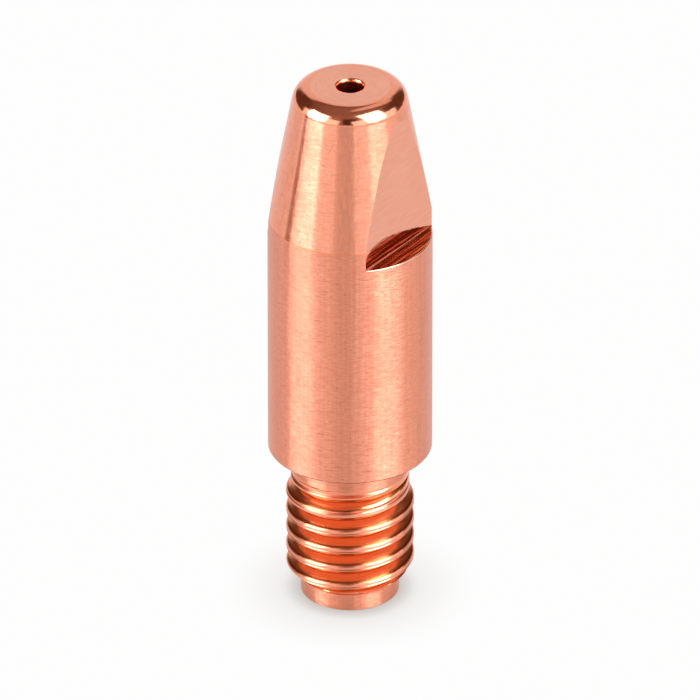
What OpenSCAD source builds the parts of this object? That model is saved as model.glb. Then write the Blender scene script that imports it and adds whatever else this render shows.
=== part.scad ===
// Welding contact tip: one turned and rolled copper piece that guides the wire
// and feeds it the current. It stands on its threaded end, nose up.
// The origin is the centre of the wire-entry face and Z is the wire axis.

/* [Body] */
// Length over all, from the wire-entry face to the nose face
overall_length = 35; // [30:0.5:45]
// Diameter of the plain barrel
body_diameter = 10; // [9:0.1:12]
// Length of the shank below the seat shoulder
shank_length = 10.1; // [9:0.1:14]
// Length of the tapered end, nose radius included
cone_length = 8.9; // [7:0.1:11]
// Angle between the taper and the axis
cone_angle = 10.5; // [6:0.5:13]
// Radius between the taper and the nose face
nose_radius = 1.1; // [0.5:0.1:1.5]

/* [Wire bore] */
// Diameter of the wire bore
bore_diameter = 1.6; // [0.8:0.1:2]
// Width of the chamfer round the bore in the nose face
mouth_chamfer = 0.14; // [0.1:0.02:0.4]
// Diameter of the funnel in the wire-entry face
entry_diameter = 3.2; // [2.4:0.1:4]
// Angle between the wall of the funnel and the axis
entry_angle = 30; // [20:1:45]

/* [Thread] */
// Diameter over the crests, an M8 thread with its tolerance
thread_diameter = 7.8; // [7.6:0.05:8.4]
// Pitch of the right-hand thread
thread_pitch = 1.25; // [1:0.05:1.5]
// Width of the crests
crest_width = 0.38; // [0.2:0.01:0.4]
// Width of the flat at the foot of the groove
root_width = 0.21; // [0.1:0.01:0.3]
// Angle between a flank and the plane across the axis
flank_angle = 30; // [28:1:35]
// Angle round the axis at which the groove starts
thread_start_angle = 8; // [0:1:359]
// Diameter of the plain pilot below the thread
pilot_diameter = 6; // [5.6:0.1:6.2]
// Length of the pilot
pilot_length = 1.05; // [0.6:0.05:1.6]
// Diameter of the plain neck between thread and shoulder
neck_diameter = 7.15; // [7:0.05:7.4]
// Length of the neck above the last full crest
neck_length = 2.5; // [2:0.1:3]
// Length along the axis in which the crests sink to the neck
crest_fade = 0.6; // [0.4:0.05:1]
// Height of the groove's end below the shoulder
groove_end = 1.9; // [1.4:0.1:2.4]
// Turns of the groove in which it runs out
groove_fade = 0.3; // [0.2:0.1:1]

/* [Spanner flats] */
// Distance across the two flats
across_flats = 7.2; // [6.6:0.1:8]
// Depth of the ledges below the edge of the taper
flat_drop = 1.2; // [0.5:0.1:3]

/* [Hidden] */
$fn = 96;
// Overlap that lets a cut run clear of the face it opens
cut = 0.1;
// Steps of the groove in one turn
turn_steps = 36;

body_r = body_diameter / 2;
bore_r = bore_diameter / 2;
entry_r = entry_diameter / 2;
crest_r = thread_diameter / 2;
thread_depth = (thread_pitch - crest_width - root_width) / 2 / tan(flank_angle);
root_r = crest_r - thread_depth;
pilot_r = pilot_diameter / 2;
neck_r = neck_diameter / 2;
cone_z = overall_length - cone_length;
ledge_z = cone_z - flat_drop;
neck_z = shank_length - neck_length;

// Centre of the nose radius: it touches the nose face and the taper
nose_tip_r = body_r - cone_length * tan(cone_angle);
nose_x = nose_tip_r - nose_radius * tan(45 - cone_angle / 2);
nose_z = overall_length - nose_radius;

// Helix of the groove: it starts in the air below the thread's lead chamfer
groove_out_r = crest_r + cut;
groove_half = root_width / 2 + (groove_out_r - root_r) * tan(flank_angle);
groove_z0 = pilot_length - groove_half;
groove_z1 = shank_length - groove_end;
groove_steps = ceil((groove_z1 - groove_z0) / thread_pitch * turn_steps);
fade_steps = groove_fade * turn_steps;
// Radius of the groove's foot at a step: it rises out of the neck at the end
function foot_r(i) = let (f = max(0, (i - groove_steps + fade_steps) / fade_steps))
    root_r + f * (neck_r + cut - root_r);
function groove_point(i, r, h) = let (a = thread_start_angle + 360 * i / turn_steps)
    [r * cos(a), r * sin(a), groove_z0 + thread_pitch * i / turn_steps + h];
function groove_section(i) = let (r = foot_r(i), w = root_width / 2)
    let (h = w + (groove_out_r - r) * tan(flank_angle)) [
        groove_point(i, r, -w),
        groove_point(i, groove_out_r, -h),
        groove_point(i, groove_out_r, h),
        groove_point(i, r, w)
    ];

// Half section of the piece before the thread, the flats and the bore
module half_section() {
    polygon([
        [0, 0],
        [pilot_r, 0],
        [pilot_r, pilot_length],
        [crest_r, pilot_length + crest_r - pilot_r],
        [crest_r, neck_z - crest_fade],
        [neck_r, neck_z],
        [neck_r, shank_length],
        [body_r, shank_length],
        [body_r, cone_z],
        [nose_x + nose_radius * cos(cone_angle), nose_z + nose_radius * sin(cone_angle)],
        [nose_x, nose_z],
        [nose_x, overall_length],
        [0, overall_length]
    ]);
    translate([nose_x, nose_z]) circle(nose_radius);
}

// Helical groove of the thread
module thread_groove() {
    points = [for (i = [0 : groove_steps]) each groove_section(i)];
    last = 4 * groove_steps;
    sides = [for (i = [0 : groove_steps - 1], k = [0 : 3])
        let (a = 4 * i + k, b = 4 * i + (k + 1) % 4)
        each [[a, b, b + 4], [a, b + 4, a + 4]]];
    ends = [[0, 2, 1], [0, 3, 2], [last, last + 1, last + 2], [last, last + 2, last + 3]];
    polyhedron(points, concat(sides, ends));
}

// Flat for a spanner, open upwards and outwards, with its ledge at the foot
module spanner_cut() {
    translate([across_flats / 2, -body_r, ledge_z])
        cube([body_r, body_diameter, overall_length]);
}

// Wire passage: bore, chamfered mouth and entry funnel
module wire_passage() {
    mouth_r = bore_r + mouth_chamfer;
    funnel = (entry_r - bore_r) / tan(entry_angle);
    translate([0, 0, -cut]) cylinder(h = overall_length + 2 * cut, r = bore_r);
    translate([0, 0, overall_length - mouth_chamfer])
        cylinder(h = mouth_chamfer + cut, r1 = bore_r, r2 = mouth_r + cut);
    translate([0, 0, -cut])
        cylinder(h = funnel + cut, r1 = entry_r + cut * tan(entry_angle), r2 = bore_r);
}

module contact_tip() {
    color("#d98f78")
    difference() {
        rotate_extrude() half_section();
        thread_groove();
        for (side = [0, 180]) rotate(side) spanner_cut();
        wire_passage();
    }
}

contact_tip();
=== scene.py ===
"""Welding contact tip: a fine copper surface over the turned solid, a plain pale studio and the camera."""

import math

import bmesh
import bpy
import numpy as np
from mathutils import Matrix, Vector


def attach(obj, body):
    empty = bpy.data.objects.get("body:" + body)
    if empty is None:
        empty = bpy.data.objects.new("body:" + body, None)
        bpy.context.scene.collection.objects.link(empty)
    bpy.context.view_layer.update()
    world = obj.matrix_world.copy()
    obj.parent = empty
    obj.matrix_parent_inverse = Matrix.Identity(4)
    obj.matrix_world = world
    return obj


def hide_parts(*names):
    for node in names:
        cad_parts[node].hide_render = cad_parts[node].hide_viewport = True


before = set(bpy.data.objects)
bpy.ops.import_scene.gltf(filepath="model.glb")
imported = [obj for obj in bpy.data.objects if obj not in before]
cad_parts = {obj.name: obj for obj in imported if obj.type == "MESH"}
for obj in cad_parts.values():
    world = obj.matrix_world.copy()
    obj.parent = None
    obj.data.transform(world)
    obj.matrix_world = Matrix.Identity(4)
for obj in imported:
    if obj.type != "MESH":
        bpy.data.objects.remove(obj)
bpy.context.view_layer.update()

MM = 0.001
TAU = 2 * math.pi
QUARTER_TURN = math.pi / 2

# Sizes of the piece in millimetres, as in the part's source
LENGTH = 35.0
BODY_R = 5.0
SHANK = 10.1
CONE_Z = 26.1
CONE_ANGLE = 10.5
CONE_SLOPE = math.tan(math.radians(CONE_ANGLE))
NOSE_R = 1.1
BORE_R = 0.8
MOUTH_CHAMFER = 0.14
ENTRY_R = 1.6
ENTRY_SLOPE = math.tan(math.radians(30))
PILOT_R = 3.0
PILOT_LENGTH = 1.05
NECK_R = 3.575
CREST_R = 3.9
PITCH = 1.25
CREST_WIDTH = 0.38
FLAT_X = 3.6
LEDGE_Z = 24.9

# Small roundings, in millimetres, that the source leaves sharp
PILOT_FOOT = 0.05
NECK_HOLLOW = 0.12
SHOULDER_EDGE = 0.08
LEDGE_LIP = 0.07
LEDGE_CORNER = 0.05
LEDGE_FADE = 0.4
BRINK = 0.07
MOUTH_DEPTH = 0.32

# Rolled thread, in millimetres: its place, its roundings and the heights between which it runs out
GROOVE_FRONT_Z = 0.34
FLANK = 1 / math.tan(math.radians(30))
CREST_EDGE = (PITCH - CREST_WIDTH) / 2
APEX_R = CREST_R - FLANK * CREST_EDGE
ROOT_ROUND = 0.07
UPPER_EDGE_ROUND = 0.27
LOWER_EDGE_ROUND = 0.08
LEAD_ROUND = 0.06
CREST_FADE = (6.9, 7.65)
GROOVE_FADE = (7.78, 8.3)
GROOVE_LIFT = 0.06
THREAD_TOP = 9.3
NECK_FADE = (9.0, THREAD_TOP)
NECK_FOOT_Z = 8.6

# Seam between the two lips of the crest, wider and deeper where the crest is not filled
SEAM_Z = [1.0, 5.9, 6.5, 7.215, 7.8, 8.465, 9.3]
SEAM_PLACE = [0.09, 0.09, 0.15, 0.25, 0.2, 0.11, 0.11]
SEAM_HALF = [0.035, 0.035, 0.05, 0.08, 0.11, 0.14, 0.14]
SEAM_DEPTH = [0.05, 0.05, 0.06, 0.09, 0.11, 0.12, 0.12]
SEAM_FADE = (8.5, 8.66)
LIP_HEIGHT = 0.045
LIP_PLACE = -0.05
LIP_WIDTH = 0.1
LIP_FADE = (8.5, 8.7)

# Stretches of the groove with painted shade: at its root and below the edge of the crest
SHADE_ROOT = 0.07
SHADE_EDGE = 0.1
CREST_MARGIN = 0.015

# Camera: direction of the photograph round the axis, height above the table, distance
FRONT = math.radians(-54.7)
ELEVATION = math.radians(30)
DISTANCE = 1.3
FRAME_WIDTH = 0.04248
AIM_Z = 0.0166
AIM_SIDE = -0.000003
SENSOR = 36

# Columns of the mesh: the two arcs over the flats and the two arcs between them
SIDE_COLUMNS = 64
FLAT_COLUMNS = 64
ROWS_PER_PITCH = 28
FLAT_HALF_ANGLE = math.acos(FLAT_X / BODY_R)

# Edges are sharp above these bends, the second one between two regions
SHARP_BEND = math.radians(32)
REGION_BEND = math.radians(4)

REGIONS = ["pilot", "groove", "shade", "crest", "neck", "shoulder", "rim", "barrel", "brink",
           "lip", "ledge", "corner", "flat", "cone", "nose", "face", "mouth", "bore", "entry"]
REGION = {name: i for i, name in enumerate(REGIONS)}
THREAD_REGIONS = {REGION[name] for name in ("groove", "shade", "crest", "neck")}


def smoothstep(a, b, x):
    t = np.clip((x - a) / (b - a), 0, 1)
    return t * t * (3 - 2 * t)


def soft_min(a, b, k):
    """Lesser of two values, with a round of size k where they meet."""
    h = np.clip(0.5 + 0.5 * (b - a) / k, 0, 1)
    return b + (a - b) * h - k * h * (1 - h)


def column_angles(half_angle):
    """Angles of one row of columns, for flats that span that half angle."""
    side = np.arange(SIDE_COLUMNS) / SIDE_COLUMNS * (math.pi - 2 * half_angle)
    flat = np.arange(FLAT_COLUMNS) / FLAT_COLUMNS * 2 * half_angle
    return np.concatenate([flat - half_angle, side + half_angle,
                           flat + math.pi - half_angle, side + math.pi + half_angle])


BASE_ANGLES = column_angles(FLAT_HALF_ANGLE)
COLUMNS = len(BASE_ANGLES)
SECOND_FLAT = FLAT_COLUMNS + SIDE_COLUMNS


def round_row(r, z, angles=BASE_ANGLES):
    r = np.broadcast_to(r, COLUMNS)
    return np.stack([r * np.cos(angles), r * np.sin(angles), np.full(COLUMNS, z)], axis=1)


def flat_row(r, z):
    """Row of a round section with its two flats."""
    half = math.acos(min(1.0, FLAT_X / r))
    row = round_row(r, z, column_angles(half))
    y = r * math.sin(half) * (2 * np.arange(FLAT_COLUMNS) / FLAT_COLUMNS - 1)
    row[:FLAT_COLUMNS, 0] = FLAT_X
    row[:FLAT_COLUMNS, 1] = y
    row[SECOND_FLAT:SECOND_FLAT + FLAT_COLUMNS, 0] = -FLAT_X
    row[SECOND_FLAT:SECOND_FLAT + FLAT_COLUMNS, 1] = -y
    return row


def from_groove(angle, z):
    """Height above the middle of the nearest groove, at an angle round the axis."""
    turns = (z - GROOVE_FRONT_Z) / PITCH - (angle - FRONT) / TAU
    return (turns - np.round(turns)) * PITCH


def thread_radius(angle, z):
    """Radius of the threaded length at an angle round the axis and a height."""
    d = from_groove(angle, z)
    groove_z = z - d
    crest_z = groove_z + np.where(d >= 0, 0.5, -0.5) * PITCH
    full = 1 - smoothstep(*CREST_FADE, crest_z)
    crest = NECK_R + (CREST_R - NECK_R) * full
    # Seam and lips of the crest
    above_edge = np.mod(d, PITCH) - CREST_EDGE
    place = np.interp(crest_z, SEAM_Z, SEAM_PLACE)
    half = np.interp(crest_z, SEAM_Z, SEAM_HALF)
    depth = np.interp(crest_z, SEAM_Z, SEAM_DEPTH) * (1 - smoothstep(*SEAM_FADE, crest_z))
    crest = crest - depth * (1 - smoothstep(0.15, 1.0, np.abs(above_edge - place) / half))
    lip = LIP_HEIGHT * (1 - full) * (1 - smoothstep(*LIP_FADE, crest_z))
    crest = crest + lip * np.exp(-((above_edge - LIP_PLACE) / LIP_WIDTH) ** 2)
    # The groove, shallower towards its end
    rise = smoothstep(*GROOVE_FADE, groove_z) * (NECK_R + GROOVE_LIFT - APEX_R)
    reach = ROOT_ROUND * math.cos(math.radians(30))
    root = 2 * ROOT_ROUND - np.sqrt(np.maximum(ROOT_ROUND ** 2 - d * d, 1e-9))
    groove = APEX_R + rise + np.where(np.abs(d) < reach, root, FLANK * np.abs(d))
    r = soft_min(crest, groove, np.where(d < 0, UPPER_EDGE_ROUND, LOWER_EDGE_ROUND))
    # Lead chamfer, and plain neck at the top
    r = soft_min(r, PILOT_R + z - PILOT_LENGTH, LEAD_ROUND)
    r = np.where(z <= PILOT_LENGTH + 1e-9, PILOT_R, r)
    return r + (NECK_R - r) * smoothstep(*NECK_FADE, z)


class Surface:
    """Rows of points joined by quads, each with its region."""

    def __init__(self):
        self.points = []
        self.faces = []
        self.regions = []
        self.count = 0
        self.last = None

    def add(self, row):
        start = self.count
        self.points.append(row)
        self.count += len(row)
        return start

    def join(self, a, b, region):
        i = np.arange(COLUMNS)
        j = (i + 1) % COLUMNS
        names = [region] * COLUMNS if isinstance(region, str) else region
        self.faces.append(np.stack([a + i, a + j, b + j, b + i], axis=1))
        self.regions.append(np.array([REGION[n] for n in names]))

    def row(self, row, region=None):
        start = self.add(row)
        if self.last is not None:
            self.join(self.last, start, region)
        self.last = start
        return start


def thread_regions(angle, height):
    d = from_groove(angle, height)
    # Painted shade: the root of the groove and the stretch just below the crest's edge get the dark copper
    below_edge = (d < SHADE_EDGE - CREST_EDGE) & (d > -CREST_EDGE)
    kind = np.where((np.abs(d) < SHADE_ROOT) | below_edge, REGION["shade"], REGION["groove"])
    kind = np.where(np.abs(d) > CREST_EDGE - CREST_MARGIN, REGION["crest"], kind)
    return np.where(height > NECK_FOOT_Z, REGION["neck"], kind)


def thread_grid(surface):
    """Helical grid from the pilot to the neck. Its rows climb one pitch in a turn."""
    step = PITCH / ROWS_PER_PITCH
    climb = PITCH * (BASE_ANGLES - BASE_ANGLES[0]) / TAU
    rows = int(math.ceil((THREAD_TOP - PILOT_LENGTH) / step)) + ROWS_PER_PITCH
    first = PILOT_LENGTH - PITCH
    total = rows + ROWS_PER_PITCH
    z = first + step * np.arange(total + 1)[:, None] + climb[None, :]
    z = np.clip(z, PILOT_LENGTH, THREAD_TOP)
    angles = np.broadcast_to(BASE_ANGLES, z.shape)
    r = np.where(z >= THREAD_TOP - 1e-9, NECK_R, thread_radius(angles, z))
    points = np.stack([r * np.cos(BASE_ANGLES), r * np.sin(BASE_ANGLES), z], axis=2)
    start = surface.add(points.reshape(-1, 3))
    index = start + np.arange((total + 1) * COLUMNS).reshape(total + 1, COLUMNS)
    around = np.stack([index[:-1, :-1], index[:-1, 1:], index[1:, 1:], index[1:, :-1]], axis=2)
    # The last column meets the first one a pitch higher
    low = index[:rows, -1]
    high = index[1:rows + 1, -1]
    closing = np.stack([low, index[ROWS_PER_PITCH:total, 0], index[ROWS_PER_PITCH + 1:, 0], high], axis=1)
    faces = np.concatenate([around.reshape(-1, 4), closing])
    surface.faces.append(faces)
    angle = angles.reshape(-1)[faces[:, 0] - start]
    surface.regions.append(thread_regions(angle, z.reshape(-1)[faces - start].mean(axis=1)))


def both(on_flat, beside):
    """Regions of one row: on the two flats and beside them."""
    return ([on_flat] * FLAT_COLUMNS + [beside] * SIDE_COLUMNS) * 2


def add_shank(s):
    """Pilot with its rounded foot, thread, neck and shoulder. It returns the first row."""
    first = None
    for t in np.linspace(0, QUARTER_TURN, 6):
        r = PILOT_R - PILOT_FOOT + PILOT_FOOT * math.sin(t)
        start = s.row(round_row(r, PILOT_FOOT - PILOT_FOOT * math.cos(t)), "pilot")
        first = start if first is None else first
    for z in np.linspace(PILOT_FOOT, PILOT_LENGTH, 6)[1:]:
        s.row(round_row(PILOT_R, z), "pilot")
    thread_grid(s)
    s.last = None
    hollow_z = SHANK - NECK_HOLLOW
    for z in np.linspace(THREAD_TOP, hollow_z, 5):
        s.row(round_row(NECK_R, z), "neck")
    for t in np.linspace(0, QUARTER_TURN, 5)[1:]:
        r = NECK_R + NECK_HOLLOW * (1 - math.cos(t))
        s.row(round_row(r, hollow_z + NECK_HOLLOW * math.sin(t)), "neck")
    for r in np.linspace(NECK_R + NECK_HOLLOW, BODY_R - SHOULDER_EDGE, 4)[1:]:
        s.row(round_row(r, SHANK), "shoulder")
    # The rounding under the shoulder has dark copper: painted shade
    for t in np.linspace(0, QUARTER_TURN, 6)[1:]:
        r = BODY_R - SHOULDER_EDGE + SHOULDER_EDGE * math.sin(t)
        s.row(round_row(r, SHANK + SHOULDER_EDGE - SHOULDER_EDGE * math.cos(t)), "rim")
    return first


def add_barrel(s):
    """Barrel, ledges with their rounded lip and inner corner, flats and taper."""
    for z in np.linspace(SHANK + SHOULDER_EDGE, LEDGE_Z - LEDGE_LIP, 24)[1:]:
        s.row(round_row(BODY_R, z), "barrel")
    first_flat = slice(0, FLAT_COLUMNS)
    second_flat = slice(SECOND_FLAT, SECOND_FLAT + FLAT_COLUMNS)
    column = np.arange(FLAT_COLUMNS)
    from_tip = np.minimum(column, FLAT_COLUMNS - column) / FLAT_COLUMNS * 2 * FLAT_HALF_ANGLE * BODY_R
    taper = np.zeros(COLUMNS)
    taper[first_flat] = taper[second_flat] = np.clip(from_tip / LEDGE_FADE, 0, 1)
    outward = np.zeros(COLUMNS)
    outward[first_flat] = 1
    outward[second_flat] = -1
    for t in np.linspace(0, QUARTER_TURN, 6)[1:]:
        r = BODY_R - LEDGE_LIP * taper * (1 - math.cos(t))
        s.row(round_row(r, LEDGE_Z - LEDGE_LIP * (1 - math.sin(t))), both("lip", "barrel"))
    for i, t in enumerate(np.linspace(0, QUARTER_TURN, 6)):
        row = flat_row(BODY_R, LEDGE_Z)
        row[:, 0] += outward * taper * LEDGE_CORNER * (1 - math.sin(t))
        row[:, 2] += taper * LEDGE_CORNER * (1 - math.cos(t))
        s.row(row, both("corner" if i else "ledge", "barrel"))
    for z in np.linspace(LEDGE_Z, CONE_Z - BRINK, 5)[1:]:
        s.row(flat_row(BODY_R, z), both("flat", "barrel"))
    # A thin darker, warmer band round the foot of the taper: painted shade line
    s.row(flat_row(BODY_R, CONE_Z), both("flat", "brink"))
    for half in np.linspace(FLAT_HALF_ANGLE, 0, 41)[1:]:
        r = FLAT_X / math.cos(half)
        s.row(flat_row(r, CONE_Z + (BODY_R - r) / CONE_SLOPE), both("flat", "cone"))


def add_nose(s):
    """Nose radius, nose face, bore with its rounded mouth, and entry funnel."""
    closed = column_angles(0.0)
    tip_r = BODY_R - (LENGTH - CONE_Z) * CONE_SLOPE
    nose_x = tip_r - NOSE_R * math.tan(math.radians(45 - CONE_ANGLE / 2))
    nose_z = LENGTH - NOSE_R
    for i, t in enumerate(np.radians(np.linspace(CONE_ANGLE, 90, 29))):
        row = round_row(nose_x + NOSE_R * math.cos(t), nose_z + NOSE_R * math.sin(t), closed)
        s.row(row, "nose" if i else "cone")
    for r in np.linspace(nose_x, BORE_R + MOUTH_CHAMFER, 9)[1:]:
        s.row(round_row(r, LENGTH, closed), "face")
    for t in np.linspace(0, QUARTER_TURN, 9)[1:]:
        r = BORE_R + MOUTH_CHAMFER * (1 - math.sin(t))
        s.row(round_row(r, LENGTH - MOUTH_DEPTH * (1 - math.cos(t)), closed), "mouth")
    funnel = (ENTRY_R - BORE_R) / ENTRY_SLOPE
    for z in np.linspace(LENGTH - MOUTH_DEPTH, funnel, 14)[1:]:
        s.row(round_row(BORE_R, z, closed), "bore")
    for r in np.linspace(BORE_R, ENTRY_R, 5)[1:]:
        s.row(round_row(r, (ENTRY_R - r) / ENTRY_SLOPE, closed), "bore")


def build_surface():
    s = Surface()
    first = add_shank(s)
    add_barrel(s)
    add_nose(s)
    s.join(s.last, first, "entry")
    return s


def make_tip(materials, material_of):
    """Mesh of the piece, closed, with a material for each region."""
    s = build_surface()
    mesh = bpy.data.meshes.new("copper_tip")
    mesh.from_pydata((np.concatenate(s.points) * MM).tolist(), [], np.concatenate(s.faces).tolist())
    names = list(materials)
    for name in names:
        mesh.materials.append(materials[name])
    slot_of = [names.index(material_of[region]) for region in REGIONS]
    bm = bmesh.new()
    bm.from_mesh(mesh)
    layer = bm.faces.layers.int.new("region")
    for face, region in zip(bm.faces, np.concatenate(s.regions)):
        face[layer] = int(region)
    bmesh.ops.remove_doubles(bm, verts=bm.verts, dist=2e-8)
    bmesh.ops.dissolve_degenerate(bm, edges=bm.edges, dist=1e-9)
    bmesh.ops.recalc_face_normals(bm, faces=bm.faces)
    for face in bm.faces:
        face.smooth = True
        face.material_index = slot_of[face[layer]]
    for e in bm.edges:
        if len(e.link_faces) == 2:
            a, b = (face[layer] for face in e.link_faces)
            apart = a != b and not {a, b} <= THREAD_REGIONS
            bend = abs(e.calc_face_angle(0.0))
            e.smooth = bend <= SHARP_BEND and not (apart and bend > REGION_BEND)
    bm.to_mesh(mesh)
    bm.free()
    return link_new("copper_tip", mesh)


def link_new(name, data):
    """New object in the scene."""
    made = bpy.data.objects.new(name, data)
    bpy.context.scene.collection.objects.link(made)
    return made


class Nodes:
    """Short way to make a node tree."""

    def __init__(self, owner):
        owner.use_nodes = True
        self.tree = owner.node_tree
        self.tree.nodes.clear()

    def add(self, kind, inputs=None, **settings):
        node = self.tree.nodes.new(kind)
        for name, value in settings.items():
            setattr(node, name, value)
        for name, value in (inputs or {}).items():
            socket = node.inputs[name]
            if isinstance(value, bpy.types.NodeSocket):
                self.tree.links.new(value, socket)
            else:
                socket.default_value = value
        return node

    def math(self, operation, a, b=0.0):
        return self.add("ShaderNodeMath", {0: a, 1: b}, operation=operation).outputs[0]

    def vector(self, operation, a, b=(0, 0, 0)):
        return self.add("ShaderNodeVectorMath", {0: a, 1: b}, operation=operation).outputs[0]

    def dot(self, a, b):
        node = self.add("ShaderNodeVectorMath", {0: a, 1: tuple(b)}, operation="DOT_PRODUCT")
        return node.outputs["Value"]

    def mix(self, factor, a, b):
        return self.add("ShaderNodeMix", {0: factor, 6: a, 7: b}, data_type="RGBA").outputs[2]

    def span(self, value, low, high, to_low=0.0, to_high=1.0):
        return self.add("ShaderNodeMapRange", {0: value, 1: low, 2: high, 3: to_low, 4: to_high}).outputs[0]

    def edge(self, value, low, high):
        node = self.add("ShaderNodeMapRange", {0: value, 1: low, 2: high}, interpolation_type="SMOOTHSTEP")
        return node.outputs[0]

    def stretch(self, vector, scale):
        return self.add("ShaderNodeMapping", {"Vector": vector, "Scale": scale}).outputs[0]

    def noise(self, vector, scale, detail=2.0, roughness=0.5):
        inputs = {"Vector": vector, "Scale": scale, "Detail": detail, "Roughness": roughness}
        return self.add("ShaderNodeTexNoise", inputs).outputs["Fac"]


def tones(light, dark):
    """Lighter and darker colour of one kind of copper."""
    return {"light": (*light, 1), "dark": (*dark, 1)}


PLAIN = tones((0.93, 0.345, 0.212), (0.91, 0.32, 0.19))
PALE = tones((0.92, 0.41, 0.283), (0.90, 0.385, 0.26))
RICH = tones((0.93, 0.335, 0.16), (0.91, 0.315, 0.145))
BRIGHT = tones((0.98, 0.39, 0.25), (0.96, 0.36, 0.225))
# Painted shade for the root of the groove and the stretch below the crest
GROOVE_SHADE = tones((0.64, 0.13, 0.03), (0.58, 0.1, 0.02))
MILLED = tones((0.88, 0.392, 0.268), (0.86, 0.37, 0.246))
# Painted shade: the ledge's copper darkened and reddened
LEDGE_SHADE = tones((0.9, 0.16, 0.03), (0.82, 0.13, 0.02))
# Painted shade for the thin band at the foot of the taper
BRINK_SHADE = tones((0.88, 0.27, 0.13), (0.85, 0.25, 0.11))
# Painted shade for the rounding under the shoulder
RIM_SHADE = tones((0.36, 0.13, 0.08), (0.36, 0.13, 0.08))
# Painted shade: the copper inside the bore darkened
BORE_SHADE = tones((0.62, 0.09, 0.025), (0.5, 0.06, 0.012))
STAIN = (0.45, 0.1, 0.05, 1)

# Noise scales, per metre along X, Y and Z: the smaller one runs along the lines
FINE_LINES = (2200, 2200, 12000)
THREAD_LINES = (300, 300, 15000)
EDGE_LINES = (300, 300, 3000)
STRANDS = (6000, 6000, 130)
DASHES = (700, 700, 15000)
SPECK_SCALE = 7000.0
CLOUD_SCALE = 420.0
STRAND_STAIN = 0.2
CLOUD_ROUGHNESS = 0.02
RING_TURN = 0.0004


def ring_place(n, where):
    """Coordinates that run out from the axis and round it."""
    split = n.add("ShaderNodeSeparateXYZ", {0: where}).outputs
    squares = n.math("ADD", n.math("MULTIPLY", split[0], split[0]), n.math("MULTIPLY", split[1], split[1]))
    turn = n.math("MULTIPLY", n.math("ARCTAN2", split[1], split[0]), RING_TURN)
    radius = n.math("SQRT", squares)
    return n.add("ShaderNodeCombineXYZ", {"X": radius, "Y": turn, "Z": split[2]}).outputs[0]


def copper(name, roughness, spread, lines, tone, anisotropic=0.0, tilt=0.0, tilt_axis="Z",
           waver=0.0, grain=0.0, wear=0.0, rings=False):
    """Copper with fine lines, which run along the small scale of their noise or round the axis (rings).
    The lines tilt the surface along an axis (tilt) and darken it a little (grain).
    The turned surface is not quite round, with faint upright strands (waver).
    Specks and short scratches are wear."""
    material = bpy.data.materials.new(name)
    n = Nodes(material)
    where = n.add("ShaderNodeTexCoord").outputs["Object"]
    place = ring_place(n, where) if rings else where
    streaks = n.noise(n.stretch(place, lines), 1.0, 3.0, 0.65)
    strands = n.noise(n.stretch(where, STRANDS), 1.0, 3.0, 0.6)
    cloud = n.noise(where, CLOUD_SCALE, 4.0, 0.55)
    colour = n.mix(n.span(cloud, 0.3, 0.7), tone["dark"], tone["light"])
    if grain:
        colour = n.mix(n.span(streaks, 0.3, 0.7, grain, 0.0), colour, STAIN)
    if waver:
        colour = n.mix(n.span(strands, 0.3, 0.7, STRAND_STAIN, 0.0), colour, STAIN)
    if wear:
        specks = n.span(n.noise(where, SPECK_SCALE, 2.0, 0.6), 0.63, 0.72, 0.0, wear)
        dashes = n.span(n.noise(n.stretch(where, DASHES), 1.0, 2.0, 0.6), 0.64, 0.72, 0.0, wear)
        colour = n.mix(n.math("MAXIMUM", specks, dashes), colour, STAIN)
    rough = n.math("ADD", n.span(streaks, 0.25, 0.75, roughness - spread, roughness + spread),
                   n.span(cloud, 0.3, 0.7, -CLOUD_ROUGHNESS, CLOUD_ROUGHNESS))
    shader = n.add("ShaderNodeBsdfPrincipled", {"Base Color": colour, "Metallic": 1.0, "Roughness": rough})
    tangent = n.add("ShaderNodeTangent", direction_type="RADIAL", axis="Z").outputs[0]
    if tilt:
        normal = n.add("ShaderNodeNewGeometry").outputs["Normal"]
        lift = n.add("ShaderNodeCombineXYZ", {tilt_axis: n.span(streaks, 0.2, 0.8, -tilt, tilt)}).outputs[0]
        normal = n.vector("ADD", normal, lift)
        if waver:
            sway = n.span(strands, 0.2, 0.8, -waver, waver)
            push = n.add("ShaderNodeVectorMath", {0: tangent, "Scale": sway}, operation="SCALE").outputs[0]
            normal = n.vector("ADD", normal, push)
        n.tree.links.new(n.vector("NORMALIZE", normal), shader.inputs["Normal"])
    if anisotropic:
        shader.inputs["Anisotropic"].default_value = anisotropic
        shader.inputs["Anisotropic Rotation"].default_value = 0.25
        n.tree.links.new(tangent, shader.inputs["Tangent"])
    n.add("ShaderNodeOutputMaterial", {"Surface": shader.outputs[0]})
    return material


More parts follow.
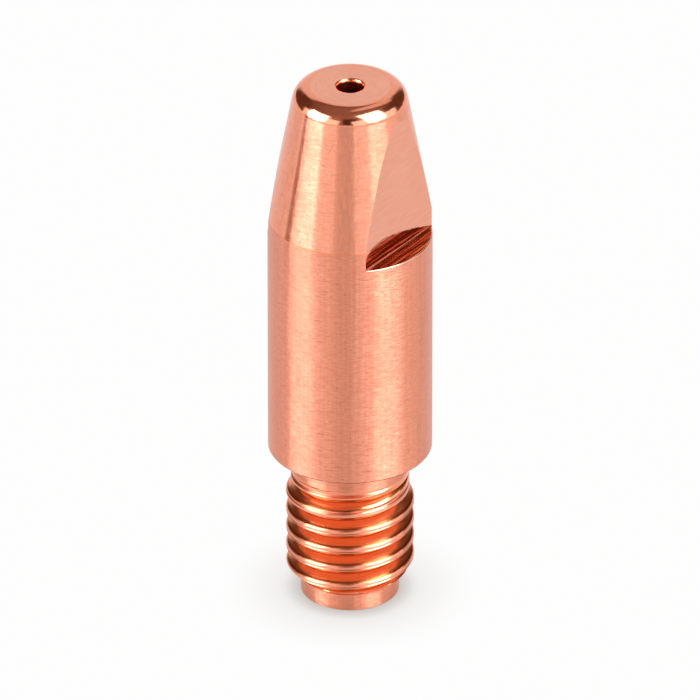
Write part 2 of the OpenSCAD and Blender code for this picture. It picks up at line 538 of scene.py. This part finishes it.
materials = {
    "turned": copper("turned_copper", 0.32, 0.03, FINE_LINES, BRIGHT, anisotropic=0.95,
                     tilt=0.09, waver=0.03, grain=0.38, wear=0.6),
    "tapered": copper("tapered_copper", 0.22, 0.02, FINE_LINES, BRIGHT, anisotropic=0.97,
                      tilt=0.03, waver=0.012, grain=0.2, wear=0.3),
    # The pilot has the plainer, darker copper than the barrel: painted shade for the table's shadow it mirrors
    "pilot": copper("pilot_copper", 0.32, 0.03, FINE_LINES, PLAIN, anisotropic=0.95,
                    tilt=0.09, waver=0.03, grain=0.3),
    "neck": copper("neck_copper", 0.34, 0.03, FINE_LINES, PLAIN, anisotropic=0.985, tilt=0.05, grain=0.45),
    "grooved": copper("grooved_copper", 0.21, 0.03, THREAD_LINES, RICH, anisotropic=0.5, tilt=0.07, grain=0.25),
    "shaded": copper("shaded_copper", 0.21, 0.03, THREAD_LINES, GROOVE_SHADE, anisotropic=0.5, tilt=0.07, grain=0.25),
    "crested": copper("crested_copper", 0.3, 0.03, THREAD_LINES, PLAIN, anisotropic=0.9, tilt=0.05, grain=0.15),
    "polished": copper("polished_copper", 0.14, 0.03, (3000, 3000, 9000), PLAIN, tilt=0.05, grain=0.2),
    "faced": copper("faced_copper", 0.22, 0.03, (5000, 5000, 1), PALE, anisotropic=0.6, rings=True, grain=0.18),
    "milled": copper("milled_copper", 0.07, 0.02, (60, 900, 14000), MILLED, tilt=0.03, grain=0.2),
    "ledge": copper("ledge_copper", 0.16, 0.04, (5200, 130, 130), LEDGE_SHADE, tilt=0.7, tilt_axis="X", grain=0.45),
    "brink": copper("brink_copper", 0.32, 0.03, FINE_LINES, BRINK_SHADE, anisotropic=0.95, tilt=0.09),
    "lip": copper("lip_copper", 0.15, 0.03, EDGE_LINES, PALE),
    "rim": copper("rim_copper", 0.25, 0.03, EDGE_LINES, RIM_SHADE),
    "mouth": copper("mouth_copper", 0.18, 0.03, EDGE_LINES, RICH),
    "bore": copper("bore_copper", 0.3, 0.05, (60, 60, 4000), BORE_SHADE),
}
material_of = {
    "pilot": "pilot", "groove": "grooved", "shade": "shaded", "crest": "crested", "neck": "neck",
    "shoulder": "turned", "rim": "rim", "barrel": "turned", "brink": "brink", "lip": "lip", "ledge": "ledge",
    "corner": "lip", "flat": "milled", "cone": "tapered", "nose": "polished", "face": "faced",
    "mouth": "mouth", "bore": "bore", "entry": "faced",
}

tip = make_tip(materials, material_of)
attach(tip, "root")
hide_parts("contact_tip")


def direction(azimuth, height):
    """Unit direction at an angle to the right of the camera's own and a height above the table, in degrees."""
    a = FRONT + math.radians(azimuth)
    h = math.radians(height)
    return Vector((math.cos(a) * math.cos(h), math.sin(a) * math.cos(h), math.sin(h)))


# Lamps: two soft boxes beside the camera, each with a wide dim skirt
LAMP_COLOUR = (0.82, 0.93, 1.0)


def soft_box(name, azimuth, height, width, tall, distance, radiance):
    lamp = bpy.data.lights.new(name, "AREA")
    lamp.shape = "RECTANGLE"
    lamp.size = width
    lamp.size_y = tall
    lamp.energy = radiance * math.pi * width * tall
    lamp.color = LAMP_COLOUR
    box = link_new(name, lamp)
    towards = direction(azimuth, height)
    box.location = towards * distance
    box.rotation_euler = towards.to_track_quat("Z", "Y").to_euler()


soft_box("left_box", azimuth=-69.5, height=22, width=1.0, tall=1.15, distance=1.5, radiance=8.0)
soft_box("right_box", azimuth=53, height=35, width=1.0, tall=1.6, distance=1.5, radiance=8.6)
soft_box("left_skirt", azimuth=-62, height=14, width=2.5, tall=1.0, distance=1.55, radiance=1.6)
soft_box("right_skirt", azimuth=53, height=16, width=3.3, tall=1.1, distance=1.55, radiance=1.7)

# Table: one pale triangle that glows as it would in even light, darker and warmer near the piece:
# a painted shadow from two occlusion masks, tinted with painted warm light from the copper.
# The metal sees it paler than the camera does.
WHITE = (1, 1, 1, 1)
SHADOW_TINT = (0.95, 0.72, 0.6, 1)
NEAR_SHADOW = 0.0014
FAR_SHADOW = 0.0045
TABLE_LEVEL = 0.99


def paint_table(table_mesh):
    material = bpy.data.materials.new("pale_table")
    n = Nodes(material)
    behind = tuple(direction(180, 52))
    near = n.add("ShaderNodeAmbientOcclusion", {"Distance": NEAR_SHADOW, "Normal": behind}, samples=16)
    far = n.add("ShaderNodeAmbientOcclusion", {"Distance": FAR_SHADOW}, samples=16)
    bright = n.math("ADD", n.span(near.outputs["AO"], 0.0, 1.0, -0.36, 0.0),
                    n.span(far.outputs["AO"], 0.0, 1.0, 0.7, TABLE_LEVEL))
    paper = n.mix(bright, SHADOW_TINT, WHITE)
    mirrored = n.add("ShaderNodeLightPath").outputs["Is Glossy Ray"]
    in_metal = n.math("MULTIPLY", mirrored, n.span(bright, 0.4, 1.0, 0.55, TABLE_LEVEL))
    strength = n.math("MAXIMUM", bright, in_metal)
    glow = n.add("ShaderNodeEmission", {"Color": n.mix(mirrored, paper, WHITE), "Strength": strength})
    n.add("ShaderNodeOutputMaterial", {"Surface": glow.outputs[0]})
    table_mesh.materials.append(material)


floor_mesh = bpy.data.meshes.new("table")
floor_mesh.from_pydata([(-8, -4.5, 0), (8, -4.5, 0), (0, 9, 0)], [], [(0, 1, 2)])
floor = link_new("table", floor_mesh)
paint_table(floor_mesh)

# A narrow brown card on the left, pointed upwards, which draws the thin line on the taper
CARD_AWAY = 0.065
CARD_HALF_WIDTH = 0.012
CARD_HEIGHT = 0.032
BROWN = (0.2, 0.065, 0.02, 1)

card_mesh = bpy.data.meshes.new("brown_card")
card_at = direction(-87.5, 0) * CARD_AWAY
card_side = direction(2.5, 0) * CARD_HALF_WIDTH
card_top = card_at + Vector((0, 0, CARD_HEIGHT))
card_mesh.from_pydata([card_at - card_side, card_at + card_side, card_top], [], [(0, 1, 2)])
card = link_new("brown_card", card_mesh)
card.visible_camera = False
brown = bpy.data.materials.new("brown_paper")
n = Nodes(brown)
n.add("ShaderNodeOutputMaterial", {"Surface": n.add("ShaderNodeEmission", {"Color": BROWN}).outputs[0]})
card_mesh.materials.append(brown)

# Room: brown at the sides, lighter round the camera with a dark middle, a glow and a pale wall behind
ROOM_SIDES = (0.13, 0.065, 0.035, 1)
ROOM_FRONT = (0.42, 0.29, 0.235, 1)
ROOM_MIDDLE = (0.07, 0.03, 0.015, 1)
ROOM_OVERHEAD = (0.3, 0.22, 0.18, 1)
ROOM_GLOW = (0.9, 0.85, 0.8, 1)
ROOM_WALL = (0.95, 0.95, 0.95, 1)

world = bpy.data.worlds.new("studio")
bpy.context.scene.world = world
n = Nodes(world)
ray = n.add("ShaderNodeTexCoord").outputs["Generated"]
up = n.add("ShaderNodeSeparateXYZ", {0: ray}).outputs[2]
level = n.vector("NORMALIZE", n.vector("MULTIPLY", ray, (1, 1, 0)))
behind = n.dot(level, direction(180, 0))
aside = n.dot(level, direction(150, 0))
low = n.math("MULTIPLY", n.edge(up, 0.02, 0.12), n.edge(up, 0.8, 0.6))
middle = n.math("MULTIPLY", n.edge(behind, -0.94, -0.985), low)
glowing = n.math("MULTIPLY", n.edge(aside, 0.93, 0.97), n.edge(up, 0.64, 0.7))
wall = n.math("MULTIPLY", n.edge(behind, 0.84, 0.93), n.edge(up, 0.74, 0.65))
room = n.mix(n.edge(behind, -0.4, -0.8), ROOM_SIDES, ROOM_FRONT)
room = n.mix(middle, room, ROOM_MIDDLE)
room = n.mix(n.edge(up, 0.6, 0.95), room, ROOM_OVERHEAD)
room = n.mix(glowing, room, ROOM_GLOW)
room = n.mix(wall, room, ROOM_WALL)
light = n.add("ShaderNodeBackground", {"Color": room, "Strength": 1.0})
n.add("ShaderNodeOutputWorld", {"Surface": light.outputs[0]})

# Camera
camera_data = bpy.data.cameras.new("camera")
camera_data.sensor_width = SENSOR
camera_data.lens = SENSOR * DISTANCE / FRAME_WIDTH
camera_data.clip_start = 0.05
camera_data.clip_end = 20
camera = link_new("camera", camera_data)
to_camera = direction(0, math.degrees(ELEVATION))
right = Vector((-math.sin(FRONT), math.cos(FRONT), 0))
camera.location = Vector((0, 0, AIM_Z)) + right * AIM_SIDE + to_camera * DISTANCE
camera.rotation_euler = to_camera.to_track_quat("Z", "Y").to_euler()
bpy.context.scene.camera = camera
bpy.context.scene.view_settings.view_transform = "Standard"
